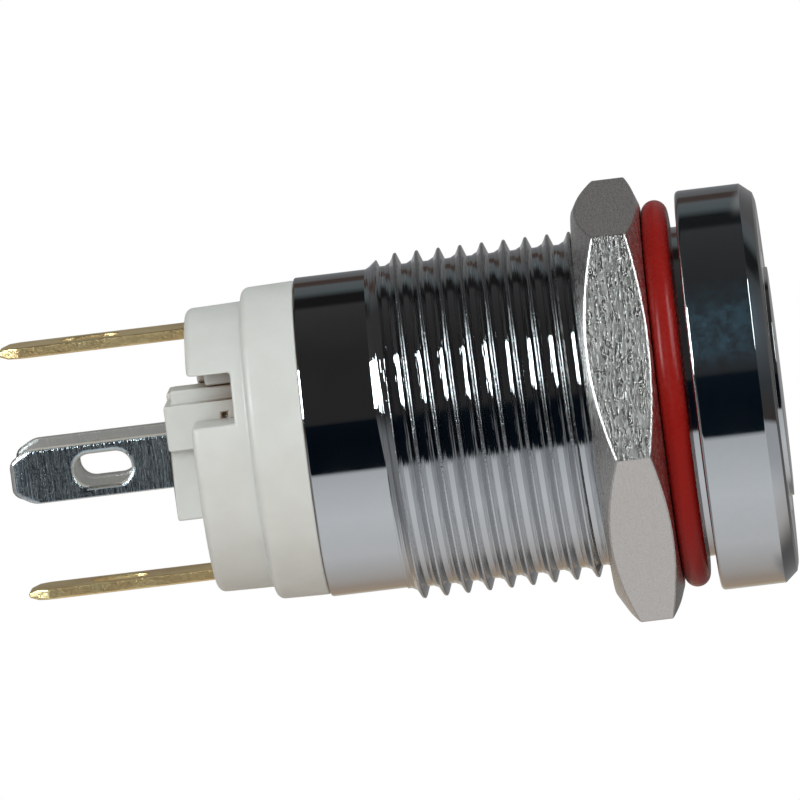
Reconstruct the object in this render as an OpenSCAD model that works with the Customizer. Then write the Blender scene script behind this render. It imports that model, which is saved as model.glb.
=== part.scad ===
// Panel push button with a threaded metal barrel, a sprung lit cap and four rear tabs.
// The origin is on the axis at the underside of the head, +Z points out of the panel.

/* [Head] */
// Outside diameter of the head
head_d = 18.34; // [17.5:0.02:22]
// Height of the head above the panel
head_h = 3.62; // [3.4:0.02:5]
// Height of the bevel at the front of the head
bevel_h = 0.56; // [0.2:0.02:1]
// Width of the bevel at the front of the head
bevel_w = 0.47; // [0.2:0.01:1]
// Width of the soft edge between the bevel and the front face
front_edge = 0.36; // [0.1:0.02:0.5]
// Height of that soft edge
front_rise = 0.1; // [0.04:0.01:0.2]
// Radius of the back edge of the head
back_edge = 0.16; // [0.05:0.01:0.3]

/* [Barrel] */
// Major diameter of the thread
thread_d = 15.83; // [15.5:0.01:16.2]
// Diameter at the root of the thread
root_d = 14.78; // [14.7:0.01:15]
// Pitch of the thread
thread_pitch = 1; // [0.75:0.05:1.5]
// Width of a thread ridge at its foot
ridge_w = 0.56; // [0.4:0.02:0.7]
// Width of the crest of a thread ridge
crest_w = 0.06; // [0.04:0.01:0.2]
// Turn of the thread about the axis
thread_turn = 168; // [0:1:360]
// Distance from the panel seat to the end of the thread
thread_end = 14.2; // [12:0.1:15.5]
// Length of the taper at the end of the thread
thread_lead = 0.9; // [0.5:0.1:1.5]
// Diameter of the plain rear stretch of the barrel
barrel_d = 14.67; // [14.4:0.01:15]
// Length of the barrel behind the head
barrel_len = 17.7; // [16.5:0.02:22]
// Diameter of the neck that the gasket sits on
neck_d = 15.12; // [14.8:0.02:15.4]
// Bevel on the rear edge of the barrel
barrel_edge = 0.1; // [0.05:0.01:0.2]
// Inside diameter of the barrel
bore_d = 12.8; // [12.6:0.02:13.4]
// Inside diameter of the opening in the head
mouth_d = 12.1; // [11.6:0.02:12.2]
// Thickness of the lip round that opening
mouth_lip = 2.02; // [1.8:0.02:2.4]

/* [Button] */
// Diameter of the metal cap
cap_d = 10.5; // [9:0.02:10.8]
// Height of the cap above the face of the head
cap_proud = 0.17; // [0.05:0.01:0.6]
// Thickness of the cap
cap_t = 0.96; // [0.6:0.02:1.2]
// Radius of the edge of the cap
cap_edge = 0.28; // [0.1:0.02:0.4]
// Travel of the button
travel = 2.2; // [1.5:0.05:2.4]
// Thickness of the stop flange behind the mouth
flange_t = 0.86; // [0.6:0.02:1.2]
// Outside diameter of the stem
stem_d = 6; // [5.4:0.02:6.6]
// Diameter of the stem where it carries the contact bridge
stem_end_d = 4.8; // [4.6:0.02:5]
// Inside diameter of the hollow stem
stem_bore_d = 3.7; // [3.6:0.02:3.8]
// Section diameter of the seal round the light guide
seal_section = 0.66; // [0.5:0.02:0.8]

/* [Springs] */
// Mean diameter of the return spring
return_d = 9; // [8:0.1:10]
// Wire of the return spring
return_wire = 0.6; // [0.4:0.05:0.7]
// Turns of the return spring
return_turns = 6; // [4:0.5:7]
// Close-wound turns at each end of the return spring
return_dead = 1; // [0.5:0.25:1.5]
// Wire of the contact spring
bridge_wire = 0.34; // [0.25:0.01:0.38]
// Height of the contact spring
bridge_spring_h = 1.2; // [1.1:0.05:1.5]
// Turns of the contact spring
bridge_turns = 2; // [1.5:0.5:2.5]

/* [Contacts] */
// Distance of each contact from the axis
contact_x = 4.1; // [3.9:0.05:4.4]
// Diameter of a contact rivet
contact_d = 1.4; // [1:0.05:1.6]
// Height of a contact rivet above its carrier
contact_h = 0.48; // [0.3:0.02:0.6]
// Diameter of the shank of a contact rivet
shank_d = 0.7; // [0.5:0.05:0.8]
// Height of the clenched end of a contact rivet
clench_h = 0.16; // [0.1:0.02:0.25]
// Thickness of the moving bridge
bridge_t = 0.4; // [0.3:0.02:0.6]
// Width of the moving bridge
bridge_w = 2.4; // [2:0.05:2.8]
// Thickness of the clip under the bridge
clip_t = 0.36; // [0.25:0.02:0.5]
// Depth of the groove that holds the clip
clip_groove = 0.22; // [0.1:0.02:0.4]
// Width of the clip outside the stem
clip_rim = 0.36; // [0.2:0.02:0.5]
// Length of a contact arm past its rivet
arm_lip = 0.2; // [0.1:0.05:0.3]

/* [Terminals] */
// Thickness of a terminal tab
tab_t = 0.5; // [0.4:0.02:0.6]
// Width of a contact tab
contact_tab_w = 2.8; // [2.4:0.05:3]
// Width of a lamp tab
lamp_tab_w = 2.55; // [2.2:0.05:2.8]
// Inside radius of a contact tab's bend
inner_bend = 0.1; // [0.05:0.01:0.2]
// Length of the tabs behind the base
tab_out = 8.66; // [7:0.02:12]
// Distance of a contact tab from the axis
contact_tab_x = 5.57; // [5.45:0.01:5.6]
// Distance of a lamp tab from the axis
lamp_tab_y = 2.3; // [2.2:0.02:2.4]
// Length of the solder slot
slot_len = 2.62; // [1.8:0.02:3]
// Width of the solder slot
slot_w = 1.46; // [0.8:0.02:1.6]
// Distance from the tip to the middle of the solder slot
slot_from_tip = 4.22; // [3:0.02:4.8]
// Length of the corner bevel at a tip
tip_len = 0.9; // [0.4:0.05:1.2]
// Width of the corner bevel at a tip
tip_side = 0.52; // [0.2:0.02:0.8]
// Length of the flat bevel at a tip
tip_flat_len = 0.46; // [0.2:0.02:0.8]
// Depth of the flat bevel at a tip, on each face
tip_flat = 0.14; // [0.05:0.01:0.18]

/* [Base] */
// Diameter of the collar behind the barrel
collar_d = 14.44; // [13.8:0.02:14.6]
// Length of the collar
collar_len = 2.5; // [2:0.02:4]
// Diameter of the rear wall of the base
rear_d = 13.16; // [12.9:0.02:13.6]
// Length of the rear wall
rear_len = 2.64; // [2:0.02:4]
// Taper of the moulded rings on the radius
draft = 0.05; // [0.02:0.01:0.1]
// Radius of the moulded outer edges
mould_edge = 0.38; // [0.2:0.02:0.5]
// Length of the spigot inside the barrel
spigot_len = 9.7; // [9.5:0.02:11]
// Depth of the contact chamber
chamber_depth = 5.8; // [5.6:0.02:6.2]
// Inside diameter of the contact chamber
chamber_d = 11.2; // [10.8:0.02:11.6]
// Thickness of the chamber floor
floor_t = 0.8; // [0.6:0.02:1]
// Thickness of the disc over the chamber
cover_t = 0.7; // [0.5:0.02:1]
// Edge of the side window nearer the axis
window_x = 1.7; // [1.5:0.01:2.2]
// Width of the side window
window_w = 2.24; // [1.8:0.02:2.4]
// Distance of the side window from the collar
window_rim = 0.64; // [0.3:0.02:1]
// Depth of the recess round the terminal block
recess_depth = 0.65; // [0.3:0.05:1]

/* [Terminal block] */
// Distance the block stands out behind the base
block_proud = 1.32; // [0.8:0.02:2]
// Half width of the block on its wide side
block_wide = 3.14; // [3:0.02:3.4]
// Half width of the block on its narrow side
block_narrow = 2.8; // [2.4:0.02:3]
// Distance of the raised face from the axis
block_face = 3.2; // [3.1:0.02:3.3]
// Distance of the lower face from the axis
block_low = 2.75; // [2.7:0.01:2.9]
// Place of the step between the two faces
block_step = 0.44; // [0.2:0.02:0.8]
// Width of the ledge along the wide side
ledge_w = 0.62; // [0.4:0.02:0.8]
// Distance of the ledge inside the lower face
ledge_drop = 0.2; // [0.1:0.02:0.3]
// Set-back of the ledge from the end of the block
ledge_back = 0.34; // [0.2:0.02:0.6]
// Size of the small pit in the raised face
pit = 0.24; // [0.1:0.02:0.4]
// Room above the block for the lamp leads
lead_room = 2.2; // [2:0.05:2.6]

/* [Lamp] */
// Diameter of the lamp
lamp_d = 3; // [2.8:0.02:3.1]
// Diameter of the rim at the foot of the lamp
lamp_rim_d = 3.3; // [3.2:0.02:3.4]
// Height of that rim
lamp_rim_h = 1; // [0.6:0.05:1.4]
// Height of the lamp
lamp_h = 4.5; // [3.6:0.05:5]
// Distance between the lamp's two leads
lead_pitch = 2.54; // [2.4:0.02:2.6]
// Diameter of a lamp lead
lead_d = 0.5; // [0.4:0.02:0.56]
// Length of the lamp's resistor
resistor_l = 1.6; // [1:0.1:2]
// Height of the lamp's resistor
resistor_h = 0.8; // [0.6:0.05:1]

/* [Nut] */
// Width of the nut across its flats
nut_af = 18.2; // [18:0.05:22]
// Thickness of the nut
nut_t = 3.15; // [2:0.05:5]
// Diameter of the flat on each face of the nut
nut_face_d = 17.5; // [17:0.05:18]
// Angle of the bevel on the nut's corners, on its rear face
nut_bevel = 30; // [15:1:40]
// Angle of that bevel on the nut's front face
nut_front_bevel = 20; // [15:1:40]
// Turn of the nut about the axis
nut_turn = 38.8; // [0:0.2:60]
// Size of the countersink at each end of the nut's hole
nut_sink = 0.3; // [0.1:0.05:0.5]

/* [Gasket] */
// Height of the panel gasket's section
gasket_section = 1.2; // [1:0.02:1.5]
// Distance of the gasket inside the edge of the head
gasket_inset = 0.29; // [0.1:0.01:0.6]
// Radius of the gasket's outer edges
gasket_edge = 0.54; // [0.3:0.02:0.64]
// Gap between the head and the gasket
gasket_gap = 0.42; // [0.1:0.01:0.5]

/* [Clearances] */
// Radial play of a sliding part
slide_play = 0.07; // [0.04:0.01:0.1]
// Gap at a stop
stop_gap = 0.03; // [0.02:0.01:0.05]
// Play of a part seated in its pocket
seat_play = 0.03; // [0.02:0.01:0.05]

/* [Hidden] */
$fn = 64;

// Overshoot of a cutting tool past the face it cuts
eps = 0.2;
head_r = head_d / 2;
thread_r = thread_d / 2;
barrel_r = barrel_d / 2;
root_r = root_d / 2;
neck_r = neck_d / 2;
neck_len = gasket_gap + gasket_section + stop_gap;
bore_r = bore_d / 2;
mouth_r = mouth_d / 2;
shoulder_z = head_h - mouth_lip;
barrel_end = -barrel_len;
thread_low = -thread_end + seat_play;
thread_high = -neck_len - seat_play;

// Levels of the base, from the barrel rearwards and from the barrel forwards
collar_end = barrel_end - collar_len;
rear_end = collar_end - rear_len;
tip_z = rear_end - tab_out;
spigot_r = bore_r - seat_play;
rim_z = barrel_end + spigot_len;
floor_z = rim_z - chamber_depth;
pocket_top = floor_z - floor_t;
block_top = pocket_top - lead_room;
block_end = rear_end - block_proud;
cover_top = rim_z + cover_t;

// Levels of the contacts, from the chamber floor up to the light guide's shoulder
arm_top = floor_z + tab_t;
fixed_top = arm_top + contact_h;
moving_low = fixed_top + travel + stop_gap;
bridge_low = moving_low + contact_h;
bridge_top = bridge_low + bridge_t;
stem_step = bridge_top + bridge_spring_h;
clip_low = bridge_low - clip_t;
stem_end = clip_low - clip_t;

// Light guide, cap and seal
guide_r = mouth_r - slide_play;
flange_r = bore_r - slide_play;
flange_top = shoulder_z - stop_gap;
flange_low = flange_top - flange_t;
cap_top = head_h + cap_proud;
cap_low = cap_top - cap_t;
cap_r = cap_d / 2;
stem_r = stem_d / 2;
stem_end_r = stem_end_d / 2;
stem_bore_r = stem_bore_d / 2;
clip_groove_r = stem_end_r - clip_groove;
clip_r = stem_end_r + clip_rim;
seal_r = guide_r - stop_gap - seal_section / 2 + slide_play;
seal_groove_r = seal_r - seal_section / 2 - seat_play;
seal_groove_h = seal_section + 2 * seat_play;
seal_z = (flange_top + cap_low) / 2;

// Coils and contact tabs
bridge_spring_r = stem_end_r + bridge_wire / 2 + slide_play;
bend_r = inner_bend + tab_t;
arm_end = contact_x - contact_d / 2 - arm_lip;
contact_arm_x = contact_tab_x + tab_t / 2;

// Lamp and its leads
lead_y = lead_pitch / 2;
lamp_tab_top = block_top + lead_room / 2;
lamp_tab_inner = lamp_tab_y - tab_t / 2;
lead_join = block_top + lead_room / 4;

// Nut and gasket
gasket_in = neck_r + seat_play / 2;
gasket_out = head_r - gasket_inset;
gasket_low = -gasket_gap - gasket_section;
nut_front = -neck_len;
nut_back = nut_front - nut_t;
nut_corner_r = nut_af / 2 / cos(30);
nut_bore_r = thread_r + slide_play;
nut_face_r = nut_face_d / 2;

// Quarter arc about a centre, from one angle to another
function arc(cx, cy, r, a0, a1, n = 6) =
    [for (i = [0:n]) [cx + r * cos(a0 + (a1 - a0) * i / n), cy + r * sin(a0 + (a1 - a0) * i / n)]];

// Outline of the terminal block, grown by a play, with its keying ledge on one side only
function block_outline(c) = [
    [-block_narrow - c, -block_step + c],
    [-block_wide - c, -block_step + c],
    [-block_wide - c, -block_low + ledge_drop - c],
    [-block_wide + ledge_w - c, -block_low + ledge_drop - c],
    [-block_wide + ledge_w - c, -block_face - c],
    [-block_step + c, -block_face - c],
    [-block_step + c, -block_low - c],
    [block_narrow + c, -block_low - c],
    [block_narrow + c, block_face + c],
    [block_step - c, block_face + c],
    [block_step - c, block_low + c],
    [-block_narrow - c, block_low + c]];

// Radius of the thread at level z and at a distance from the middle of a ridge
function thread_at(z, off) =
    let (share = (ridge_w / 2 - abs(off)) / (ridge_w / 2 - crest_w / 2),
        ridge = root_r + (thread_r - root_r) * min(1, max(0, share)),
        front = neck_r - seat_play + thread_high - z,
        rear = barrel_r - seat_play + (z - thread_low) * (thread_r - barrel_r) / thread_lead)
    min(ridge, front, rear);

// Corners of a face, without those that fall together
function trimmed(face) = [for (k = [0:len(face) - 1]) if (face[k] != face[(k + 1) % len(face)]) face[k]];

// Centre of a coil's wire at turn t, with close-wound turns of pitch close at each end
function coil_z(t, turns, dead, low, high, close) =
    let (open = (high - low - 2 * dead * close) / (turns - 2 * dead))
    low + close * min(t, dead) + open * max(0, min(t, turns - dead) - dead)
        + close * max(0, t - turns + dead);

module turned(points) {
    rotate_extrude() polygon(points);
}

module drum(r, z0, z1) {
    translate([0, 0, z0]) cylinder(r = r, h = z1 - z0);
}

module block(x0, x1, y0, y1, z0, z1) {
    translate([x0, y0, z0]) cube([x1 - x0, y1 - y0, z1 - z0]);
}

// Wound wire between two levels
module coil(r, wire, z0, z1, turns, dead, steps = 18, sides = 8) {
    n = round(turns * steps);
    low = z0 + wire / 2;
    high = z1 - wire / 2;
    rise = [for (i = [0:n]) coil_z(turns * i / n, turns, dead, low, high, wire + seat_play)];
    points = [for (i = [0:n], s = [0:sides - 1])
        let (a = 360 * turns * i / n, b = 360 * s / sides, q = r + wire / 2 * cos(b))
        [q * cos(a), q * sin(a), rise[i] + wire / 2 * sin(b)]];
    skin = [for (i = [0:n - 1], s = [0:sides - 1])
        let (u = (s + 1) % sides)
        [i * sides + s, i * sides + u, (i + 1) * sides + u, (i + 1) * sides + s]];
    first = [for (s = [sides - 1:-1:0]) s];
    last = [for (s = [0:sides - 1]) n * sides + s];
    polyhedron(points, concat(skin, [first, last]));
}

// Threaded rod, whose plain ends reach into the neck and the rear stretch of the barrel
module thread(steps = 40) {
    edges = [-ridge_w / 2, -crest_w / 2, crest_w / 2, ridge_w / 2];
    e = len(edges);
    near = thread_pitch / steps / 2;
    first = floor(thread_low / thread_pitch) - 2;
    turns = ceil(thread_high / thread_pitch) + 2 - first;
    m = turns * e;
    ends = steps * m;
    function level(i, j) = (first + floor(j / e) + i / steps) * thread_pitch + edges[j % e];
    function corner(i, j) =
        let (z = level(i, j), c = i % steps)
        z < thread_low + near ? ends + steps + c
            : z > thread_high - near ? ends + 2 * steps + c : c * m + j + e * floor(i / steps);
    function around(r, z, i) =
        let (a = thread_turn + 360 * i / steps)
        [r * cos(a), r * sin(a), z];
    rows = [for (i = [0:steps - 1], j = [0:m - 1])
        around(thread_at(level(i, j), edges[j % e]), level(i, j), i)];
    rims = [for (rim = [[barrel_r - seat_play, thread_low - eps], [barrel_r - seat_play, thread_low],
        [neck_r - seat_play, thread_high], [neck_r - seat_play, thread_high + eps]],
        i = [0:steps - 1]) around(rim[0], rim[1], i)];
    skin = [for (i = [0:steps - 1], j = [0:m - 2])
        let (face = trimmed([corner(i, j), corner(i, j + 1), corner(i + 1, j + 1), corner(i + 1, j)]))
        if (len(face) > 2) face];
    sides = [for (rim = [0, 2], i = [0:steps - 1])
        let (low = ends + rim * steps, next = (i + 1) % steps)
        [low + i, low + steps + i, low + steps + next, low + next]];
    foot = [for (i = [0:steps - 1]) ends + i];
    top = [for (i = [steps - 1:-1:0]) ends + 3 * steps + i];
    polyhedron(concat(rows, rims), concat(skin, sides, [foot, top]));
}

// Rivet through a carrier of thickness t, its head on the +Z side of the carrier's top at z = 0
module rivet(t) {
    drum(contact_d / 2, 0, contact_h);
    drum(shank_d / 2, -t, eps);
    drum(shank_d / 2 + clench_h, -t - clench_h, -t);
}

// Obround slot along Z through a tab whose faces are normal to X
module solder_slot() {
    reach = tab_t + 2 * eps;
    half = (slot_len - slot_w) / 2;
    translate([0, 0, tip_z + slot_from_tip]) {
        for (z = [-half, half])
            translate([-reach / 2, 0, z]) rotate([0, 90, 0]) cylinder(d = slot_w, h = reach);
        block(-reach / 2, reach / 2, -slot_w / 2, slot_w / 2, -half, half);
    }
}

// Side outline of a tab in X and Z, with its tip bevelled on both faces
function tab_side(top) = [
    [-tab_t / 2, top],
    [-tab_t / 2, tip_z + tip_flat_len],
    [-tab_t / 2 + tip_flat, tip_z],
    [tab_t / 2 - tip_flat, tip_z],
    [tab_t / 2, tip_z + tip_flat_len],
    [tab_t / 2, top]];

// Wedges that bevel the two corners of a tip of width w
module tip_corners(w) {
    for (s = [-1, 1])
        rotate([90, 0, 90])
            translate([0, 0, -tab_t])
                linear_extrude(2 * tab_t)
                    polygon([[s * (w / 2 - tip_side), tip_z], [s * w / 2, tip_z + tip_len],
                        [s * (w / 2 + eps), tip_z + tip_len], [s * (w / 2 + eps), tip_z - eps],
                        [s * (w / 2 - tip_side), tip_z - eps]]);
}

// Straight tab at the origin with its faces normal to X
module straight_tab(w, top) {
    difference() {
        rotate([90, 0, 0]) linear_extrude(w, center = true) polygon(tab_side(top));
        tip_corners(w);
        solder_slot();
    }
}

// Tab with its inner end bent towards the axis as a contact arm
module bent_tab() {
    half = tab_t / 2;
    reach = contact_tab_x - arm_end;
    difference() {
        rotate([90, 0, 0]) linear_extrude(contact_tab_w, center = true)
            polygon(concat(
                [[-half, tip_z + tip_flat_len], [-half + tip_flat, tip_z],
                    [half - tip_flat, tip_z], [half, tip_z + tip_flat_len]],
                arc(half - bend_r, arm_top - bend_r, bend_r, 0, 90),
                [[-reach, arm_top], [-reach, floor_z]],
                arc(half - bend_r, arm_top - bend_r, inner_bend, 90, 0)));
        tip_corners(contact_tab_w);
        solder_slot();
        translate([contact_x - contact_tab_x, 0, 0])
            drum(shank_d / 2 + seat_play / 2, floor_z - eps, arm_top + eps);
    }
}

module barrel_housing() {
    color("gainsboro") difference() {
        union() {
            thread();
            turned([[0, barrel_end], [barrel_r - barrel_edge, barrel_end],
                [barrel_r, barrel_end + barrel_edge], [barrel_r, -thread_end], [0, -thread_end]]);
            turned(concat(
                [[0, -neck_len], [neck_r, -neck_len], [neck_r, 0]],
                arc(head_r - back_edge, back_edge, back_edge, -90, 0),
                [[head_r, head_h - front_rise - bevel_h], [head_r - bevel_w, head_h - front_rise],
                    [head_r - bevel_w - front_edge, head_h], [0, head_h]]));
        }
        drum(bore_r, barrel_end - eps, shoulder_z);
        drum(mouth_r, shoulder_z - eps, head_h + eps);
    }
}

module button_cap() {
    color("silver") turned(concat(
        [[0, cap_low], [cap_r, cap_low]],
        arc(cap_r - cap_edge, cap_top - cap_edge, cap_edge, 0, 90),
        [[0, cap_top]]));
}

module light_guide() {
    socket_r = cap_r + seat_play;
    color("ivory") turned([
        [0, cap_low], [socket_r, cap_low], [socket_r, head_h], [guide_r, head_h],
        [guide_r, seal_z + seal_groove_h / 2], [seal_groove_r, seal_z + seal_groove_h / 2],
        [seal_groove_r, seal_z - seal_groove_h / 2], [guide_r, seal_z - seal_groove_h / 2],
        [guide_r, flange_top], [flange_r, flange_top], [flange_r, flange_low],
        [stem_r, flange_low], [stem_r, stem_step], [stem_end_r, stem_step],
        [stem_end_r, bridge_low], [clip_groove_r, bridge_low], [clip_groove_r, clip_low],
        [stem_end_r, clip_low], [stem_end_r, stem_end], [stem_bore_r, stem_end],
        [stem_bore_r, flange_low], [0, flange_low]]);
}

module guide_seal() {
    color("dimgray") rotate_extrude() translate([seal_r, seal_z]) circle(d = seal_section);
}

module return_spring() {
    color("lightsteelblue")
        coil(return_d / 2, return_wire, cover_top, flange_low, return_turns, return_dead);
}

module contact_spring() {
    color("lightsteelblue")
        coil(bridge_spring_r, bridge_wire, bridge_top, stem_step, bridge_turns, 0, steps = 16, sides = 6);
}

module contact_bridge() {
    tip_x = contact_x + contact_d / 2;
    color("goldenrod") difference() {
        union() {
            drum(stem_r, bridge_low, bridge_top);
            block(-contact_x, contact_x, -bridge_w / 2, bridge_w / 2, bridge_low, bridge_top);
            for (s = [-1, 1])
                translate([s * contact_x, 0, 0]) drum(tip_x - contact_x, bridge_low, bridge_top);
        }
        drum(stem_end_r + slide_play, bridge_low - eps, bridge_top + eps);
        for (s = [-1, 1])
            translate([s * contact_x, 0, 0])
                drum(shank_d / 2 + seat_play / 2, bridge_low - eps, bridge_top + eps);
    }
}

module moving_contact(side) {
    color("whitesmoke") translate([side * contact_x, 0, bridge_low]) mirror([0, 0, 1]) rivet(bridge_t);
}

module moving_contact_a() {
    moving_contact(-1);
}

module moving_contact_b() {
    moving_contact(1);
}

module bridge_clip() {
    gap = clip_groove_r;
    color("slategray") difference() {
        drum(clip_r, clip_low, bridge_low);
        drum(clip_groove_r, clip_low - eps, bridge_low + eps);
        block(-gap / 2, gap / 2, 0, clip_r + eps, clip_low - eps, bridge_low + eps);
    }
}

module chamber_cover() {
    color("linen") difference() {
        drum(spigot_r, rim_z, cover_top);
        drum(stem_r + slide_play, rim_z - eps, cover_top + eps);
    }
}

module contact_terminal(side) {
    color("darkgoldenrod") rotate([0, 0, side > 0 ? 0 : 180]) translate([contact_tab_x, 0, 0]) bent_tab();
}

module contact_terminal_a() {
    contact_terminal(-1);
}

module contact_terminal_b() {
    contact_terminal(1);
}

module fixed_contact(side) {
    color("whitesmoke") translate([side * contact_x, 0, arm_top]) rivet(tab_t);
}

module fixed_contact_a() {
    fixed_contact(-1);
}

module fixed_contact_b() {
    fixed_contact(1);
}

module lamp_terminal(side) {
    color("lightslategray")
        translate([0, side * lamp_tab_y, 0]) rotate([0, 0, 90]) straight_tab(lamp_tab_w, lamp_tab_top);
}

module lamp_terminal_a() {
    lamp_terminal(-1);
}

module lamp_terminal_b() {
    lamp_terminal(1);
}

module lamp() {
    dome_z = floor_z + lamp_h - lamp_d / 2;
    color("aliceblue") {
        drum(lamp_rim_d / 2, floor_z, floor_z + lamp_rim_h);
        drum(lamp_d / 2, floor_z, dome_z);
        translate([0, 0, dome_z]) sphere(d = lamp_d);
    }
}

// Lead bent outwards to the inner face of its tab
module lamp_lead_a() {
    color("silver") {
        translate([0, -lead_y, 0]) drum(lead_d / 2, lead_join, floor_z);
        translate([0, -lead_y, lead_join]) {
            sphere(d = lead_d);
            rotate([90, 0, 0]) cylinder(d = lead_d, h = lamp_tab_inner - lead_y);
        }
    }
}

// Straight lead down to the resistor
module lamp_lead_b() {
    color("silver") translate([0, lead_y, 0]) drum(lead_d / 2, lead_join - resistor_h / 2, floor_z);
}

module lamp_resistor() {
    color("darkslategray")
        block(-resistor_l / 2, resistor_l / 2, lead_y + lead_d / 2, lamp_tab_inner,
            lead_join - resistor_h / 2, lead_join + resistor_h / 2);
}

// Room in the base for one bent contact terminal
module contact_tab_pocket() {
    half_w = contact_tab_w / 2 + seat_play;
    inner_x = contact_tab_x - tab_t / 2 - seat_play;
    block(inner_x, contact_arm_x + seat_play, -half_w, half_w, rear_end - eps, floor_z);
    block(inner_x - inner_bend, contact_tab_x, -half_w, half_w, floor_z - inner_bend, floor_z);
    block(arm_end, contact_arm_x + seat_play, -half_w, half_w, floor_z, fixed_top);
    translate([contact_x, 0, 0])
        drum(shank_d / 2 + clench_h + seat_play, floor_z - clench_h - seat_play, floor_z + eps);
}

module base_body() {
    collar_r = collar_d / 2;
    rear_r = rear_d / 2;
    turned(concat(
        [[0, floor_z], [chamber_d / 2, floor_z], [chamber_d / 2, rim_z], [spigot_r, rim_z],
            [spigot_r, barrel_end], [collar_r, barrel_end]],
        arc(collar_r - draft - mould_edge, collar_end + mould_edge, mould_edge, 0, -90),
        [[rear_r, collar_end]],
        arc(rear_r - draft - mould_edge, rear_end + mould_edge, mould_edge, 0, -90),
        [[0, rear_end]]));
}

module base_housing() {
    window_out = window_x + window_w;
    block_back = block_low - ledge_drop;
    color("seashell") difference() {
        base_body();
        translate([0, 0, rear_end - eps])
            linear_extrude(pocket_top - rear_end + eps) polygon(block_outline(seat_play));
        for (turn = [0, 180]) rotate([0, 0, turn]) {
            contact_tab_pocket();
            block(window_x, window_out, block_back, rear_d, rear_end - eps, collar_end - window_rim);
            translate([0, lead_y, 0]) drum(lead_d / 2 + seat_play, pocket_top - eps, floor_z + eps);
        }
        block(-window_out, window_out, -block_back, block_back, rear_end - eps, rear_end + recess_depth);
    }
}

module terminal_block() {
    slot_y = lamp_tab_y - tab_t / 2 - seat_play;
    half_w = lamp_tab_w / 2 + seat_play;
    color("seashell") difference() {
        translate([0, 0, block_end]) linear_extrude(block_top - block_end) polygon(block_outline(0));
        block(-block_wide - eps, ledge_w - block_wide, -block_face, 0, block_end - eps, block_end + ledge_back);
        for (turn = [0, 180]) rotate([0, 0, turn]) {
            block(-half_w, half_w, slot_y, slot_y + tab_t + 2 * seat_play,
                block_end - eps, block_top + eps);
            translate([window_x, block_face - pit, collar_end - rear_len / 2]) cube([pit, 2 * pit, pit]);
        }
    }
}

module hex_nut() {
    back_r = nut_face_r + nut_t / tan(nut_bevel);
    front_r = nut_face_r + nut_t / tan(nut_front_bevel);
    color("lightgray") difference() {
        translate([0, 0, nut_back]) intersection() {
            rotate([0, 0, nut_turn]) cylinder(r = nut_corner_r, h = nut_t, $fn = 6);
            cylinder(r1 = nut_face_r, r2 = back_r, h = nut_t);
            cylinder(r1 = front_r, r2 = nut_face_r, h = nut_t);
        }
        turned([[0, nut_back - eps], [nut_bore_r + nut_sink + eps, nut_back - eps],
            [nut_bore_r, nut_back + nut_sink], [nut_bore_r, nut_front - nut_sink],
            [nut_bore_r + nut_sink + eps, nut_front + eps], [0, nut_front + eps]]);
    }
}

module panel_gasket() {
    edge = min(gasket_edge, (gasket_out - gasket_in) / 2, gasket_section / 2 - stop_gap);
    color("firebrick") turned(concat(
        [[gasket_in, gasket_low]],
        arc(gasket_out - edge, gasket_low + edge, edge, -90, 0, 10),
        arc(gasket_out - edge, -gasket_gap - edge, edge, 0, 90, 10),
        [[gasket_in, -gasket_gap]]));
}

barrel_housing();
button_cap();
light_guide();
guide_seal();
return_spring();
contact_spring();
contact_bridge();
moving_contact_a();
moving_contact_b();
bridge_clip();
chamber_cover();
contact_terminal_a();
contact_terminal_b();
fixed_contact_a();
fixed_contact_b();
lamp_terminal_a();
lamp_terminal_b();
lamp();
lamp_lead_a();
lamp_lead_b();
lamp_resistor();
base_housing();
terminal_block();
hex_nut();
panel_gasket();
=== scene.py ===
import math

import bmesh
import bpy
from mathutils import Matrix, Vector


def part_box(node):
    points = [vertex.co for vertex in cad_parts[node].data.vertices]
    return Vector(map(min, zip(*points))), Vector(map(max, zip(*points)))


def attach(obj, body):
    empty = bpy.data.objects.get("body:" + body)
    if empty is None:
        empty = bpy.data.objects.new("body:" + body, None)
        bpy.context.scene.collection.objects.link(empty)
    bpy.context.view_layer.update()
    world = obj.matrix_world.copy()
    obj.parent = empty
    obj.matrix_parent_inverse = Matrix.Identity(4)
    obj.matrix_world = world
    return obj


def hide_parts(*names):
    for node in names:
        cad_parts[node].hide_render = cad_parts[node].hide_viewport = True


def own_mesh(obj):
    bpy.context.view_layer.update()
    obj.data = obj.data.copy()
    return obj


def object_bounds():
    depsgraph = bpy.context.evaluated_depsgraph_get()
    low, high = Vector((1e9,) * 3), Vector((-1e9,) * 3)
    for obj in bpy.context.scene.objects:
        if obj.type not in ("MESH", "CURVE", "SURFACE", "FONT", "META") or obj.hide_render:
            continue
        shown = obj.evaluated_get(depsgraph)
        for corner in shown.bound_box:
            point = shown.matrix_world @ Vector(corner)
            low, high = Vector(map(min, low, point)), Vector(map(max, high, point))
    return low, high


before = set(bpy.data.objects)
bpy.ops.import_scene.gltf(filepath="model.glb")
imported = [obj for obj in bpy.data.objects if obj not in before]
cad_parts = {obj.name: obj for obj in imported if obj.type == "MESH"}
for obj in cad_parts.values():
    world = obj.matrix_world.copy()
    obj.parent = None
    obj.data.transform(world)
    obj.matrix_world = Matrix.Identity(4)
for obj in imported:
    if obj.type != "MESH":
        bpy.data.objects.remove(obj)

cad_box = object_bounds()
MM = 0.001


def span(node):
    """Lowest and highest corner of a node, in millimetres."""
    low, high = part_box(node)
    return low / MM, high / MM


# Sizes in millimetres, from the frame where it gives them
barrel_low, barrel_high = span("barrel_housing")
nut_low, nut_high = span("hex_nut")
gasket_low, gasket_high = span("panel_gasket")
cap_low, cap_high = span("button_cap")
spring_low, spring_high = span("return_spring")

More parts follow.
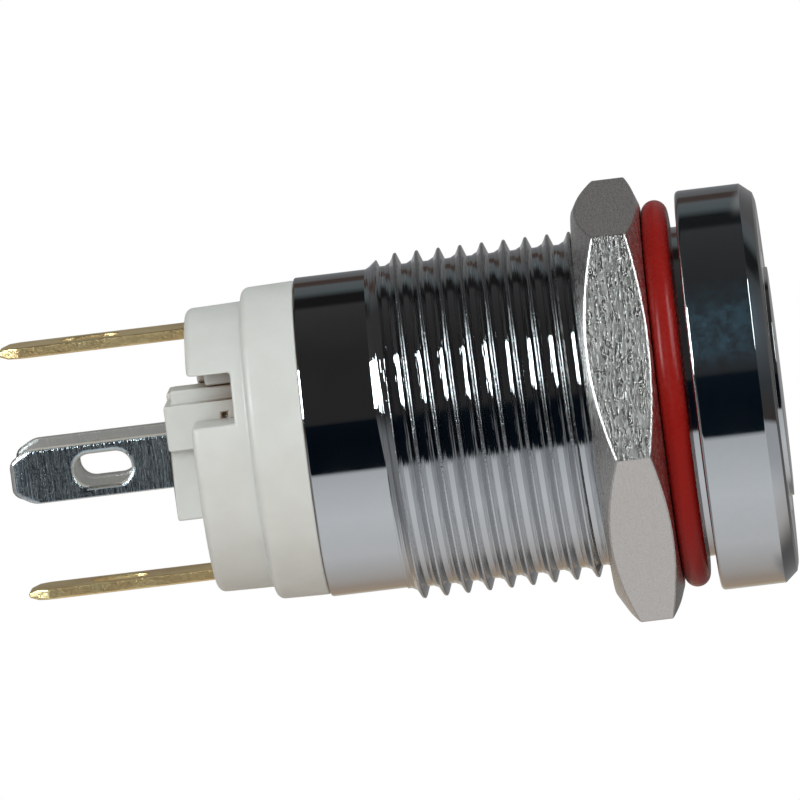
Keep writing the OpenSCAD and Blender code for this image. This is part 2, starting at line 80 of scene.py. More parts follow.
# Head and barrel
HEAD_R = barrel_high.x
HEAD_TOP = barrel_high.z
HEAD_BACK_ROUND = 0.2
BEVEL_H = 0.56
BEVEL_W = 0.47
BEVEL_ROUND = 0.06
BEVEL_TOP_ROUND = 0.1
FRONT_EDGE = 0.36
FRONT_RISE = 0.10
FRONT_ROUND = 0.5
MOUTH_R = 6.05
MOUTH_ROUND = 0.05
SHOULDER_DEPTH = 2.02
SHOULDER_Z = HEAD_TOP - SHOULDER_DEPTH
BORE_R = 6.4
NECK_R = 7.56
NECK_FILLET = 0.06
BARREL_R = 7.335
BARREL_CHAMFER = (0.03, 0.06)
BARREL_ROUND = 0.06
SEGMENTS = 192
ARC_STEPS = 5

# Thread: points of a ridge as distances in front of its crest and radii
PITCH = 1.0
CREST_R = 7.915
ROOT_R = 7.39
RIDGE = ((-0.53, ROOT_R), (-0.28, 7.515), (-0.17, 7.7), (-0.09, 7.865), (-0.04, CREST_R),
         (0.03, CREST_R), (0.065, 7.86), (0.24, ROOT_R))
ROOT_ROWS = (0.5, 0.37)
CREST_AT_ZERO = -0.485
THREAD_FRONT = nut_high.z

# Run-out at the thread's rear: a small ring, full for a part of a turn on both sides of RUNOUT_TURN and
# then tapered; the ridges nearest to it have more rows
RUNOUT_Z = -14.42
RUNOUT_LEN = 0.19
RUNOUT_SLOPE = 0.52
RUNOUT_STEEP = 0.8
RUNOUT_STEP = 0.02
RUNOUT_TURN = 0.594
RUNOUT_FULL = 0.12
RUNOUT_TAPER = 0.055
RUNOUT_RIDGES = 4
RUNOUT_ROWS = 25
THREAD_REAR = RUNOUT_Z + RUNOUT_LEN + RUNOUT_STEP

# Nut
NUT_AF = 18.2
NUT_TURN = math.radians(38.8)
NUT_FACE_R = 8.75
NUT_PLAY = 0.07
NUT_BORE_R = CREST_R + NUT_PLAY
NUT_SINK = 0.3
NUT_BACK_BEVEL = math.radians(30)
NUT_FRONT_BEVEL = math.radians(20)
NUT_CORNER = 0.1
NUT_SOFT = 0.05
NUT_STEPS = 40

# Gasket, cap and return spring
GASKET_PLAY = 0.015
GASKET_STEPS = 24
CAP_BACK_ROUND = 0.05
CAP_RIM_ROUND = 0.03
SPRING_TURNS = 6
SPRING_STEPS = 48
WIRE_R = 0.3
WIRE_SIDES = 12
COIL_GAP = 0.03

# Rounded edges of the mouldings and tabs
BASE_EDGE = 0.15
BLOCK_EDGE = 0.12
CONTACT_TAB_EDGE = 0.1
LAMP_TAB_EDGE = 0.24
EDGE_STEPS = 3
EDGE_ANGLE = math.radians(28)
FLAT_ANGLE = math.radians(0.3)

# Points this close are one, and edges sharper than these degrees stay sharp
WELD = 1e-4
NODE_WELD = 2e-4
ALL_SMOOTH = 180
CREASE = 38
BARREL_CREASE = 25
NUT_CREASE = 24
ROUND_CREASE = 60

# Chrome: depths below the crests where wear starts and is full, heights above the barrel where tool
# marks do, depths behind the thread's front where both fade, and depths inside the head's side of its haze
WEAR_FROM, WEAR_FULL = 0.12, 0.02
MARKS_FROM, MARKS_FULL = 0.02, 0.05
THREAD_FULL, THREAD_NONE = 0.4, 0.2
HAZE_FROM, HAZE_FULL = 0.3, 0.1
HAZE = 0.026
HAZE_STRETCH = 0.9
HAZE_COLOUR = (0.30, 0.72, 1.0)

# Strips: how squarely a face looks along the axis where it is sheared and where it is rolled, and the
# distance from the middle of the part by which a face counts as an inner one
SHEARED_BELOW, ROLLED_ABOVE = 0.5, 0.95
INNER_FROM = 0.5

# Nylon: reach of the painted shade in its corners
CORNER_REACH = 2.4

# View of the photograph: pixel of the origin, focal length in pixels, distance and turns
IMAGE_PX = 800
FOCAL_PX = 12000
ORIGIN_PX = (698.07, 390.65)
DISTANCE = 547.72
TILT = math.radians(6.897)
YAW = math.radians(2.62)
ROLL = math.radians(6.1)
SENSOR = 36.0
NEAREST = 10
FARTHEST = 20000
TOWARD = Vector((-math.sin(ROLL), -math.cos(ROLL), 0))
UPWARD = Vector((-math.cos(ROLL), math.sin(ROLL), 0))
AXIS = Vector((0, 0, 1))

# Studio room round the axis: degrees up from the camera's side, and the brightness there
ROOM = [
    (-180, (0.45, 0.45, 0.44)), (-170, (0.50, 0.46, 0.40)), (-160, (0.38, 0.30, 0.22)),
    (-144, (0.38, 0.32, 0.27)), (-128, (0.47, 0.45, 0.43)), (-100, (0.61, 0.62, 0.63)),
    (-64, (0.66, 0.69, 0.71)), (-40, (0.58, 0.61, 0.63)), (-28.5, (0.52, 0.55, 0.57)),
    (-27.5, (0.003, 0.006, 0.010)), (-6, (0.002, 0.004, 0.008)), (7, (0.003, 0.006, 0.010)),
    (9, (0.027, 0.027, 0.028)), (60, (0.026, 0.026, 0.026)), (104, (0.044, 0.044, 0.045)),
    (108, (0.012, 0.012, 0.012)), (118, (0.012, 0.012, 0.012)), (126, (0.10, 0.12, 0.125)),
    (136, (0.12, 0.135, 0.14)), (140, (0.07, 0.05, 0.045)), (147, (0.065, 0.047, 0.04)),
    (150, (0.13, 0.13, 0.13)), (162, (0.16, 0.165, 0.175)), (170, (0.20, 0.21, 0.22)),
    (179, (0.45, 0.45, 0.45))]
# The room beyond its rear and front ends: height of a direction, and the brightness there
ROOM_REAR = [(-0.5, (0.24, 0.25, 0.26)), (-0.1, (0.18, 0.19, 0.20)), (0.1, (0.03, 0.03, 0.03)),
             (0.8, (0.05, 0.05, 0.05))]
ROOM_FRONT = [(-0.6, (0.45, 0.47, 0.49)), (-0.25, (0.40, 0.42, 0.44)), (-0.22, (0.05, 0.04, 0.037)),
              (0.0, (0.045, 0.05, 0.055)), (0.3, (0.10, 0.115, 0.125)), (0.8, (0.07, 0.08, 0.085))]
# Where along the axis the ends and the backdrop take over from the room, and the backdrop's brightness
REAR_FROM, REAR_FULL = -0.5, -0.75
FRONT_FROM, FRONT_FULL = 0.78, 0.92
BACKDROP_FROM, BACKDROP_FULL = -0.004, 0.014
BEHIND_FROM, BEHIND_FULL = -0.35, -0.7
BACKDROP_REACH = 0.5
BACKDROP_NEAR, BACKDROP_FAR = 0.24, 0.11
# Light on matt surfaces, from below and from above
AMBIENT = 0.65
FILL_BELOW = (0.75, 0.64, 0.53)
FILL_ABOVE = (1.05, 1.09, 1.07)
FILL_FROM, FILL_FULL = -0.7, 0.6

# Lamps
LAMP_AIM = Vector((0, 0, -12))
SOFTBOX_LEVEL = 15.0
SOFTBOX_COLOUR = (0.90, 1.0, 1.04)
FRONT_LEVEL = 2.8
FRONT_COLOUR = (1, 1, 1)

# Floor: its radius, its gap below the tabs, and the radii between which its shade fades to white
FLOOR_R = 120
FLOOR_GAP = 8.5
FLOOR_SIDES = 96
SHADE_FROM, SHADE_TO = 12, 50
SHADE_GLOW = 0.35


def rounded(corners):
    """Open outline through (r, z, radius) corners, each turned into an arc of its radius."""
    out = []
    for i, (r, z, radius) in enumerate(corners):
        if not radius:
            out.append((r, z))
            continue
        here = Vector((r, z))
        back = (Vector(corners[i - 1][:2]) - here).normalized()
        ahead = (Vector(corners[i + 1][:2]) - here).normalized()
        half = back.angle(ahead) / 2
        centre = here + (back + ahead).normalized() * radius / math.sin(half)
        first = here + back * radius / math.tan(half) - centre
        last = here + ahead * radius / math.tan(half) - centre
        start = math.atan2(first.y, first.x)
        turn = math.atan2(last.y, last.x) - start
        turn = (turn + math.pi) % (2 * math.pi) - math.pi
        for k in range(ARC_STEPS + 1):
            a = start + turn * k / ARC_STEPS
            out.append((centre.x + radius * math.cos(a), centre.y + radius * math.sin(a)))
    return out


def skin(bm, columns, closed_profile=False):
    """Faces between columns of points, the last column being the first one again."""
    made = [[bm.verts.new(p) for p in column] for column in columns]
    rows = len(columns[0])
    for left, right in zip(made, made[1:]):
        for i in range(rows if closed_profile else rows - 1):
            j = (i + 1) % rows
            bm.faces.new((left[i], right[i], right[j], left[j]))


def round_points(profile, angle):
    """Points of a profile of radii and heights, turned about the axis."""
    return [(r * math.cos(angle), r * math.sin(angle), z) for r, z in profile]


def lathe(bm, profile, closed_profile=False):
    columns = [round_points(profile, 2 * math.pi * k / SEGMENTS) for k in range(SEGMENTS + 1)]
    skin(bm, columns, closed_profile)


def piece(name, bm, body, slot, *nodes, crease=CREASE):
    """Object in metres from a mesh in millimetres, on its body and in place of its nodes."""
    bmesh.ops.remove_doubles(bm, verts=bm.verts, dist=WELD)
    bmesh.ops.dissolve_degenerate(bm, edges=bm.edges, dist=WELD)
    bmesh.ops.recalc_face_normals(bm, faces=bm.faces)
    bmesh.ops.scale(bm, vec=(MM, MM, MM), verts=bm.verts)
    mesh = bpy.data.meshes.new(name)
    bm.to_mesh(mesh)
    bm.free()
    return place(name, mesh, body, slot, nodes, crease)


def place(name, mesh, body, slot, nodes, crease):
    for polygon in mesh.polygons:
        polygon.use_smooth = True
    mesh.set_sharp_from_angle(angle=math.radians(crease))
    obj = bpy.data.objects.new(name, mesh)
    bpy.context.scene.collection.objects.link(obj)
    obj.data.materials.append(finishes[slot])
    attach(obj, body)
    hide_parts(*nodes)
    return obj


def softened(name, node, body, slot, width):
    """Copy of a node with its sharp edges rounded by a small width in millimetres."""
    bm = bmesh.new()
    bm.from_mesh(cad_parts[node].data)
    bmesh.ops.remove_doubles(bm, verts=bm.verts, dist=NODE_WELD * MM)
    bmesh.ops.dissolve_limit(bm, angle_limit=FLAT_ANGLE, verts=bm.verts, edges=bm.edges)
    mesh = bpy.data.meshes.new(name)
    bm.to_mesh(mesh)
    bm.free()
    custom = mesh.attributes.get("custom_normal")
    if custom:
        mesh.attributes.remove(custom)
    mesh.materials.clear()
    obj = place(name, mesh, body, slot, [node], ALL_SMOOTH)
    bevel = obj.modifiers.new("edges", "BEVEL")
    bevel.width = width * MM
    bevel.segments = EDGE_STEPS
    bevel.limit_method = "ANGLE"
    bevel.angle_limit = EDGE_ANGLE
    bevel.use_clamp_overlap = False
    bevel.harden_normals = True


# Materials


class Nodes:
    """Short names for the nodes of one shader tree."""

    def __init__(self, tree):
        self.nodes = tree.nodes
        self.links = tree.links

    def new(self, kind, **settings):
        node = self.nodes.new(kind)
        for key, value in settings.items():
            setattr(node, key, value)
        return node

    def join(self, socket, value):
        """Link a socket to another one, or set its number, vector or opaque colour."""
        if isinstance(value, bpy.types.NodeSocket):
            self.links.new(value, socket)
        else:
            socket.default_value = (*value, 1) if socket.type == "RGBA" else value

    def fill(self, node, **values):
        """Join the sockets of a node, by their names with underscores for spaces."""
        for key, value in values.items():
            self.join(node.inputs[key.replace("_", " ")], value)

    def span(self, value, low, high, to_low=0.0, to_high=1.0, smooth=True):
        """Value taken from one range to another, and held at its ends."""
        node = self.new("ShaderNodeMapRange", interpolation_type="SMOOTHSTEP" if smooth else "LINEAR")
        self.fill(node, Value=value, From_Min=low, From_Max=high, To_Min=to_low, To_Max=to_high)
        return node.outputs["Result"]

    def math(self, operation, a, b=0.0):
        node = self.new("ShaderNodeMath", operation=operation)
        self.join(node.inputs[0], a)
        self.join(node.inputs[1], b)
        return node.outputs["Value"]

    def mix(self, factor, a, b):
        """Colour between two others."""
        node = self.new("ShaderNodeMix", data_type="RGBA")
        self.fill(node, Factor=factor, A=a, B=b)
        return node.outputs["Result"]

    def blend(self, factor, first, second):
        """Shader between two others."""
        node = self.new("ShaderNodeMixShader")
        for socket, value in zip(node.inputs, (factor, first, second)):
            self.join(socket, value)
        return node.outputs["Shader"]


class Finish(Nodes):
    """Nodes of one material, with places in its object's own coordinates."""

    def __init__(self, name):
        self.material = bpy.data.materials.new(name)
        self.material.use_nodes = True
        super().__init__(self.material.node_tree)
        self.shader = self.nodes["Principled BSDF"]
        self.surface = self.nodes["Material Output"].inputs["Surface"]
        coordinates = self.new("ShaderNodeTexCoord")
        self.place = coordinates.outputs["Object"]
        self.normal = coordinates.outputs["Normal"]

    def noise(self, per_mm, detail=2.0, rough=0.5, distort=0.0):
        """Noise with so many features for each millimetre along X, Y and Z."""
        scale = per_mm if isinstance(per_mm, tuple) else (per_mm,) * 3
        mapping = self.new("ShaderNodeMapping")
        self.fill(mapping, Vector=self.place, Scale=[s / MM for s in scale])
        node = self.new("ShaderNodeTexNoise")
        self.fill(node, Vector=mapping.outputs["Vector"], Scale=1, Detail=detail, Roughness=rough,
                  Distortion=distort)
        return node.outputs["Fac"]

    def along(self, vector, key):
        """Component of a vector along X, Y or Z."""
        node = self.new("ShaderNodeSeparateXYZ")
        self.links.new(vector, node.inputs["Vector"])
        return node.outputs[key]

    def radius(self):
        """Distance from the axis, in metres."""
        flat = self.new("ShaderNodeVectorMath", operation="MULTIPLY")
        flat.inputs[1].default_value = (1, 1, 0)
        self.links.new(self.place, flat.inputs[0])
        node = self.new("ShaderNodeVectorMath", operation="LENGTH")
        self.links.new(flat.outputs["Vector"], node.inputs[0])
        return node.outputs["Value"]

    def beyond(self, value, low, high):
        """Share that grows from none to all between two lengths in millimetres."""
        return self.span(value, low * MM, high * MM)

    def sheared(self, key):
        """Share of a sheared edge on a strip whose rolled faces look along one axis."""
        facing = self.math("ABSOLUTE", self.along(self.normal, key))
        return self.span(facing, SHEARED_BELOW, ROLLED_ABOVE, 1.0, 0.0)

    def inner(self, key):
        """Share of the faces that look along one axis toward the middle of the part."""
        outward = self.math("MULTIPLY", self.along(self.normal, key), self.along(self.place, key))
        return self.span(outward, -INNER_FROM * MM, 0.0, 1.0, 0.0)

    def bump(self, height, microns, strength=1.0, normal=None):
        """Relief of so many microns, laid over another one if there is one."""
        node = self.new("ShaderNodeBump")
        self.fill(node, Distance=microns * 1e-6, Strength=strength, Height=height)
        if normal:
            self.links.new(normal, node.inputs["Normal"])
        self.links.new(node.outputs["Normal"], self.shader.inputs["Normal"])
        return node.outputs["Normal"]

    def set(self, **values):
        names = {"base": "Base Color", "metallic": "Metallic", "roughness": "Roughness",
                 "subsurface": "Subsurface Weight", "scatter": "Subsurface Radius",
                 "scatter_scale": "Subsurface Scale", "transmission": "Transmission Weight",
                 "ior": "IOR", "specular": "Specular IOR Level"}
        for key, value in values.items():
            self.join(self.shader.inputs[names[key]], value)


def turned_haze(tree):
    """Faint gloss drawn out round the axis, as fine turning leaves it."""
    around = tree.new("ShaderNodeTangent", direction_type="RADIAL", axis="Z")
    node = tree.new("ShaderNodeBsdfAnisotropic")
    tree.fill(node, Color=HAZE_COLOUR, Roughness=0.5, Anisotropy=HAZE_STRETCH,
              Tangent=around.outputs["Tangent"])
    return node.outputs["BSDF"]


def chrome():
    tree = Finish("mirror_chrome")
    smudge = tree.noise(0.5, detail=4, rough=0.6)
    tree.set(base=tree.mix(smudge, (0.60, 0.61, 0.62), (0.66, 0.66, 0.67)), metallic=1.0)
    radius = tree.radius()
    threaded = tree.span(tree.along(tree.place, "Z"), (THREAD_FRONT - THREAD_FULL) * MM,
                         (THREAD_FRONT - THREAD_NONE) * MM, 1, 0)
    crest = tree.beyond(radius, CREST_R - WEAR_FROM, CREST_R - WEAR_FULL)
    worn = tree.math("MULTIPLY", crest, threaded)
    gloss = tree.span(smudge, 0.35, 0.7, 0.03, 0.07)
    tree.set(roughness=tree.math("ADD", gloss, tree.math("MULTIPLY", worn, 0.12)))
    ripple = tree.bump(tree.noise(1.6, detail=3), microns=0.5, strength=0.5)
    cut = tree.beyond(radius, BARREL_R + MARKS_FROM, BARREL_R + MARKS_FULL)
    marks = tree.math("MULTIPLY", cut, threaded)
    tooled = tree.bump(tree.noise((0.4, 0.4, 13)), microns=14, strength=marks, normal=ripple)
    tree.bump(tree.noise(15), microns=26, strength=worn, normal=tooled)
    cloud = tree.span(tree.noise(2.2, detail=5, rough=0.7), 0.35, 0.65, 0.3, 1.2)
    side = tree.beyond(radius, HEAD_R - HAZE_FROM, HEAD_R - HAZE_FULL)
    hazy = tree.math("MULTIPLY", side, cloud)
    both = tree.blend(tree.math("MULTIPLY", hazy, HAZE), tree.shader.outputs[0], turned_haze(tree))
    tree.join(tree.surface, both)
    return tree.material


def nickel():
    tree = Finish("bright_nickel")
    streak = tree.noise((1.6, 1.6, 9), detail=4, rough=0.65, distort=0.2)
    grain = tree.noise(16, detail=2, rough=0.7)
    tree.set(base=tree.mix(grain, (0.60, 0.56, 0.53), (0.76, 0.72, 0.69)), metallic=1.0)
    tree.set(roughness=tree.span(streak, 0.3, 0.7, 0.22, 0.32))
    ridges = tree.bump(streak, microns=38, strength=0.9)
    tree.bump(grain, microns=18, normal=ridges)
    return tree.material


def gold_plate():
    tree = Finish("gold_plate")
    cloud = tree.span(tree.noise((0.9, 0.9, 0.5), detail=4, rough=0.6), 0.35, 0.7)
    tree.set(base=tree.mix(cloud, (0.97, 0.77, 0.40), (0.88, 0.62, 0.30)), metallic=1.0)
    grain = tree.noise((9, 9, 7), detail=3, rough=0.6)
    tree.set(roughness=tree.span(grain, 0.3, 0.7, 0.34, 0.46))
    tree.bump(grain, microns=40, strength=tree.span(tree.sheared("X"), 0, 1, 0.12, 1.0))
    return tree.material


def tin_plate():
    tree = Finish("tin_plate")
    sheared = tree.sheared("Y")
    inner = tree.inner("Y")
    dull = tree.math("MAXIMUM", sheared, inner)
    rolled = tree.mix(tree.noise(0.8, detail=4), (0.52, 0.60, 0.64), (0.64, 0.70, 0.73))
    outside = tree.mix(sheared, rolled, (0.66, 0.64, 0.61))
    tree.set(base=tree.mix(inner, outside, (0.38, 0.39, 0.39)))
    tree.set(metallic=tree.span(dull, 0, 1, 1.0, 0.3))
    lines = tree.noise((0.6, 1.2, 15), detail=3, rough=0.6)
    gloss = tree.span(lines, 0.3, 0.7, 0.16, 0.30)
    tree.set(roughness=tree.math("ADD", gloss, tree.math("MULTIPLY", dull, 0.12)))
    grain = tree.bump(lines, microns=38, strength=0.8)
    tree.bump(tree.noise(10), microns=12, strength=0.8, normal=grain)
    return tree.material


def white_nylon():
    tree = Finish("white_nylon")
    cloud = tree.span(tree.noise(0.45, detail=4, rough=0.55), 0.35, 0.7)
    tone = tree.mix(cloud, (0.665, 0.69, 0.68), (0.63, 0.65, 0.635))
    # Painted shade: the base colour turns dark brown in corners, gaps and recesses, where the AO node
    # finds surfaces close by
    corner = tree.new("ShaderNodeAmbientOcclusion", samples=8)
    corner.inputs["Distance"].default_value = CORNER_REACH * MM
    unshaded_share = tree.span(corner.outputs["AO"], 0.10, 0.46)
    tree.set(base=tree.mix(unshaded_share, (0.22, 0.13, 0.065), tone))
    tree.set(subsurface=0.25, scatter=(1.0, 0.88, 0.72), scatter_scale=0.5 * MM)
    tree.set(roughness=tree.span(tree.noise(3, detail=3), 0.3, 0.7, 0.4, 0.55))
    tree.bump(tree.noise(7, detail=3), microns=4, strength=0.5)
    return tree.material


def red_silicone():
    tree = Finish("red_silicone")
    cloud = tree.noise(0.7, detail=4)
    tree.set(base=tree.mix(cloud, (0.25, 0.008, 0.006), (0.29, 0.011, 0.008)), specular=0.14)
    tree.set(roughness=tree.span(tree.noise(4, detail=3), 0.3, 0.7, 0.22, 0.34))
    tree.bump(tree.noise((2.5, 2.5, 5), detail=3), microns=5, strength=0.6)
    return tree.material


def plain(name, dark, pale, metallic, rough, per_mm, microns, **more):
    """Finish with a cloudy colour, uneven gloss and a fine grain."""
    tree = Finish(name)
    tree.set(base=tree.mix(tree.noise(per_mm, detail=4), dark, pale), metallic=metallic, **more)
    grain = tree.noise(per_mm * 6, detail=3)
    tree.set(roughness=tree.span(grain, 0.3, 0.7, rough * 0.75, rough * 1.25))
    tree.bump(grain, microns, strength=0.6)
    return tree.material


finishes = {
    "chrome": chrome(),
    "nickel": nickel(),
    "gold_plate": gold_plate(),
    "tin_plate": tin_plate(),
    "white_nylon": white_nylon(),
    "red_silicone": red_silicone(),
    "opal_guide": plain("opal_guide", (0.78, 0.80, 0.80), (0.86, 0.87, 0.86), 0.0, 0.3, 0.6, 2,
                        subsurface=0.5, scatter=(1.0, 1.0, 1.0), scatter_scale=0.8 * MM),
    "black_rubber": plain("black_rubber", (0.012, 0.012, 0.013), (0.03, 0.03, 0.03), 0.0, 0.5, 2.0, 5),
    "spring_steel": plain("spring_steel", (0.42, 0.43, 0.45), (0.55, 0.56, 0.57), 1.0, 0.25, 2.5, 4),
    "bridge_brass": plain("bridge_brass", (0.60, 0.42, 0.16), (0.72, 0.54, 0.24), 1.0, 0.28, 1.2, 5),
    "contact_silver": plain("contact_silver", (0.78, 0.77, 0.74), (0.86, 0.85, 0.83), 1.0, 0.22, 2.0, 3),
    "lead_wire": plain("lead_wire", (0.62, 0.62, 0.61), (0.74, 0.74, 0.73), 1.0, 0.3, 2.0, 4),
    "lamp_epoxy": plain("lamp_epoxy", (0.86, 0.88, 0.90), (0.92, 0.93, 0.95), 0.0, 0.08, 0.8, 1,
                        transmission=0.85, ior=1.5),
    "resistor_black": plain("resistor_black", (0.015, 0.015, 0.016), (0.04, 0.04, 0.04), 0.0, 0.4, 3.0, 4),
}
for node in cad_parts.values():
    for held in node.material_slots:
        held.material = finishes[held.material.name.split(".")[0]]


# Pieces


def ridge_radius(off):
    """Radius of the thread at a distance in front of the nearest crest."""
    for (z0, r0), (z1, r1) in zip(RIDGE, RIDGE[1:]):
        if z0 <= off < z1:
            return r0 + (r1 - r0) * (off - z0) / (z1 - z0)
    return ROOT_R


def thread_radius(z, turn):
    """Radius of the threaded barrel at a height and a turn about the axis."""
    phase = (z - CREST_AT_ZERO) / PITCH - turn
    ridge = ridge_radius((phase - round(phase)) * PITCH)
    front = NECK_R + THREAD_FRONT - z
    rear = BARREL_R + RUNOUT_SLOPE * RUNOUT_LEN + RUNOUT_STEEP * (z - RUNOUT_Z - RUNOUT_LEN)
    return max(BARREL_R, min(ridge, front, rear))


def runout_points(turn):
    """Points of the small ring behind the thread at one turn about the axis."""
    away = abs((turn - RUNOUT_TURN + 0.5) % 1 - 0.5)
    share = min(1.0, max(0.0, 1 + (RUNOUT_FULL - away) / RUNOUT_TAPER))
    return [(BARREL_R + share * RUNOUT_SLOPE * RUNOUT_LEN, RUNOUT_Z + RUNOUT_LEN),
            (BARREL_R, RUNOUT_Z + (1 - share) * RUNOUT_LEN),
            (BARREL_R, RUNOUT_Z)]


def thread_column(turn):
    """Points of the thread at one turn about the axis, on rows that follow the helix."""
    coarse = [*ROOT_ROWS, *(off for off, r in reversed(RIDGE))]
    evenly = (ROOT_ROWS[0] - PITCH * n / RUNOUT_ROWS for n in range(RUNOUT_ROWS))
    fine = sorted({*coarse, *evenly}, reverse=True)
    first = math.ceil(THREAD_FRONT - CREST_AT_ZERO) + 1
    count = first - math.floor(THREAD_REAR - CREST_AT_ZERO) + 2
    column = [(NECK_R, THREAD_FRONT)]
    for k in range(count):
        for offset in coarse if k < count - RUNOUT_RIDGES else fine:
            z = CREST_AT_ZERO + PITCH * (turn + first - k) + offset
            z = min(THREAD_FRONT, max(THREAD_REAR, z))
            r = NECK_R if z == THREAD_FRONT else thread_radius(z, turn)
            column.append((r, z))
    return round_points(column + runout_points(turn), 2 * math.pi * turn)


def make_barrel():
    outline = rounded([
        (NECK_R, THREAD_FRONT, 0),
        (NECK_R, 0, NECK_FILLET),
        (HEAD_R, 0, HEAD_BACK_ROUND),
        (HEAD_R, HEAD_TOP - FRONT_RISE - BEVEL_H, BEVEL_ROUND),
        (HEAD_R - BEVEL_W, HEAD_TOP - FRONT_RISE, BEVEL_TOP_ROUND),
        (HEAD_R - BEVEL_W - FRONT_EDGE, HEAD_TOP, FRONT_ROUND),
        (MOUTH_R, HEAD_TOP, MOUTH_ROUND),
        (MOUTH_R, SHOULDER_Z, 0),
        (BORE_R, SHOULDER_Z, 0),
        (BORE_R, barrel_low.z, 0),
        (BARREL_R - BARREL_CHAMFER[0], barrel_low.z, 0),
        (BARREL_R, barrel_low.z + BARREL_CHAMFER[1], BARREL_ROUND),
        (BARREL_R, RUNOUT_Z, 0)])
    bm = bmesh.new()
    lathe(bm, outline)
    skin(bm, [thread_column(k / SEGMENTS) for k in range(SEGMENTS + 1)])
    piece("threaded_barrel", bm, "housing", "chrome", "barrel_housing", crease=BARREL_CREASE)


def hex_radius(angle):
    """Radius of the nut's outline with its corners slightly rounded."""
    sixth = math.pi / 3
    local = (angle - NUT_TURN + sixth / 2) % sixth - sixth / 2
    apothem = NUT_AF / 2
    centre = (apothem - NUT_CORNER) / math.cos(sixth / 2)
    flat_end = math.atan((apothem - NUT_CORNER) * math.tan(sixth / 2) / apothem)
    from_middle = sixth / 2 - abs(local)
    if from_middle < flat_end:
        return apothem / math.cos(from_middle)
    inner = NUT_CORNER ** 2 - (centre * math.sin(local)) ** 2
    return centre * math.cos(local) + math.sqrt(max(0.0, inner))


def nut_end(reach, bevel):
    """Radius and depth along one end of the nut, from its hole out to its side."""
    drop = math.tan(bevel)
    soft = NUT_SOFT
    edge = (reach - NUT_FACE_R) * drop
    return [
        (NUT_BORE_R, NUT_SINK),
        (NUT_BORE_R + NUT_SINK, 0),
        (NUT_FACE_R - soft, 0),
        (NUT_FACE_R + soft, soft * drop),
        (reach - soft, edge - soft * drop),
        (reach, edge + soft)]


def nut_column(angle):
    """Points of the nut at one angle about the axis."""
    reach = hex_radius(angle)
    back = [(r, nut_low.z + h) for r, h in nut_end(reach, NUT_BACK_BEVEL)]
    front = [(r, nut_high.z - h) for r, h in reversed(nut_end(reach, NUT_FRONT_BEVEL))]
    return round_points(back + front, angle)


def make_nut():
    """Hex nut whose columns crowd toward its corners."""
    spread = [math.sin((k / NUT_STEPS - 0.5) * math.pi) for k in range(NUT_STEPS)]
    angles = [NUT_TURN + (n + 0.5 + s / 2) * math.pi / 3 for n in range(6) for s in spread]
    angles.append(angles[0] + 2 * math.pi)
    bm = bmesh.new()
    skin(bm, [nut_column(a) for a in angles], closed_profile=True)
    piece("panel_nut", bm, "nut", "nickel", "hex_nut", crease=NUT_CREASE)


def make_gasket():
    middle = (gasket_low.z + gasket_high.z) / 2
    half = (gasket_high.z - gasket_low.z) / 2
    centre = gasket_high.x - half
    inner = NECK_R + GASKET_PLAY
    outline = [(inner, middle - half)]
    for k in range(GASKET_STEPS + 1):
        a = math.pi * (k / GASKET_STEPS - 0.5)
        outline.append((centre + half * math.cos(a), middle + half * math.sin(a)))
    outline.append((inner, middle + half))
    bm = bmesh.new()
    lathe(bm, outline, closed_profile=True)
    piece("red_gasket", bm, "housing", "red_silicone", "panel_gasket", crease=ROUND_CREASE)


def make_cap():
    outline = rounded([
        (0, cap_low.z, 0),
        (cap_high.x, cap_low.z, CAP_BACK_ROUND),
        (cap_high.x, cap_high.z, CAP_RIM_ROUND),
        (0, cap_high.z, 0)])
    bm = bmesh.new()
    lathe(bm, outline)
    piece("push_cap", bm, "button", "chrome", "button_cap")


def coil_height(turn):
    """Height of the spring's wire at a turn, with one closed turn at each end."""
    close = 2 * WIRE_R + COIL_GAP
    rise = spring_high.z - spring_low.z - 2 * WIRE_R
    ends = close * min(turn, 1) + close * max(0, turn - SPRING_TURNS + 1)
    free = max(0, min(turn, SPRING_TURNS - 1) - 1) / (SPRING_TURNS - 2)
    return spring_low.z + WIRE_R + ends + (rise - 2 * close) * free


def coil_ring(turn):
    """Points round the spring's wire at a turn."""
    sides = [2 * math.pi * s / WIRE_SIDES for s in range(WIRE_SIDES)]
    centre = spring_high.x - WIRE_R
    height = coil_height(turn)
    section = [(centre + WIRE_R * math.cos(b), height + WIRE_R * math.sin(b)) for b in sides]
    return round_points(section, 2 * math.pi * turn)


def make_spring():
    bm = bmesh.new()
    steps = SPRING_TURNS * SPRING_STEPS
    skin(bm, [coil_ring(k / SPRING_STEPS) for k in range(steps + 1)], closed_profile=True)
    for end in (bm.verts[:WIRE_SIDES], bm.verts[-WIRE_SIDES:]):
        bm.faces.new(end)
    coil = piece("return_coil", bm, "housing", "spring_steel", "return_spring", crease=ROUND_CREASE)
    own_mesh(coil)


make_barrel()
make_nut()
make_gasket()
make_cap()
make_spring()
softened("moulded_base", "base_housing", "housing", "white_nylon", BASE_EDGE)
softened("moulded_block", "terminal_block", "housing", "white_nylon", BLOCK_EDGE)
for side in "ab":
    softened("contact_tab_" + side, "contact_terminal_" + side, "housing", "gold_plate", CONTACT_TAB_EDGE)
    softened("lamp_tab_" + side, "lamp_terminal_" + side, "housing", "tin_plate", LAMP_TAB_EDGE)


# Camera


def camera_axes():
    """The part's axes as the camera sees them, in x right, y down and z forward."""
    axis = Vector((math.cos(TILT) * math.cos(YAW), -math.sin(TILT) * math.cos(YAW), -math.sin(YAW)))
    toward = Vector((0, 0, -1))
    toward = (toward - axis * toward.dot(axis)).normalized()
    upward = toward.cross(axis)
    upward = upward if upward.y < 0 else -upward
    return [math.cos(ROLL) * -upward - math.sin(ROLL) * toward,
            math.sin(ROLL) * upward - math.cos(ROLL) * toward, axis]


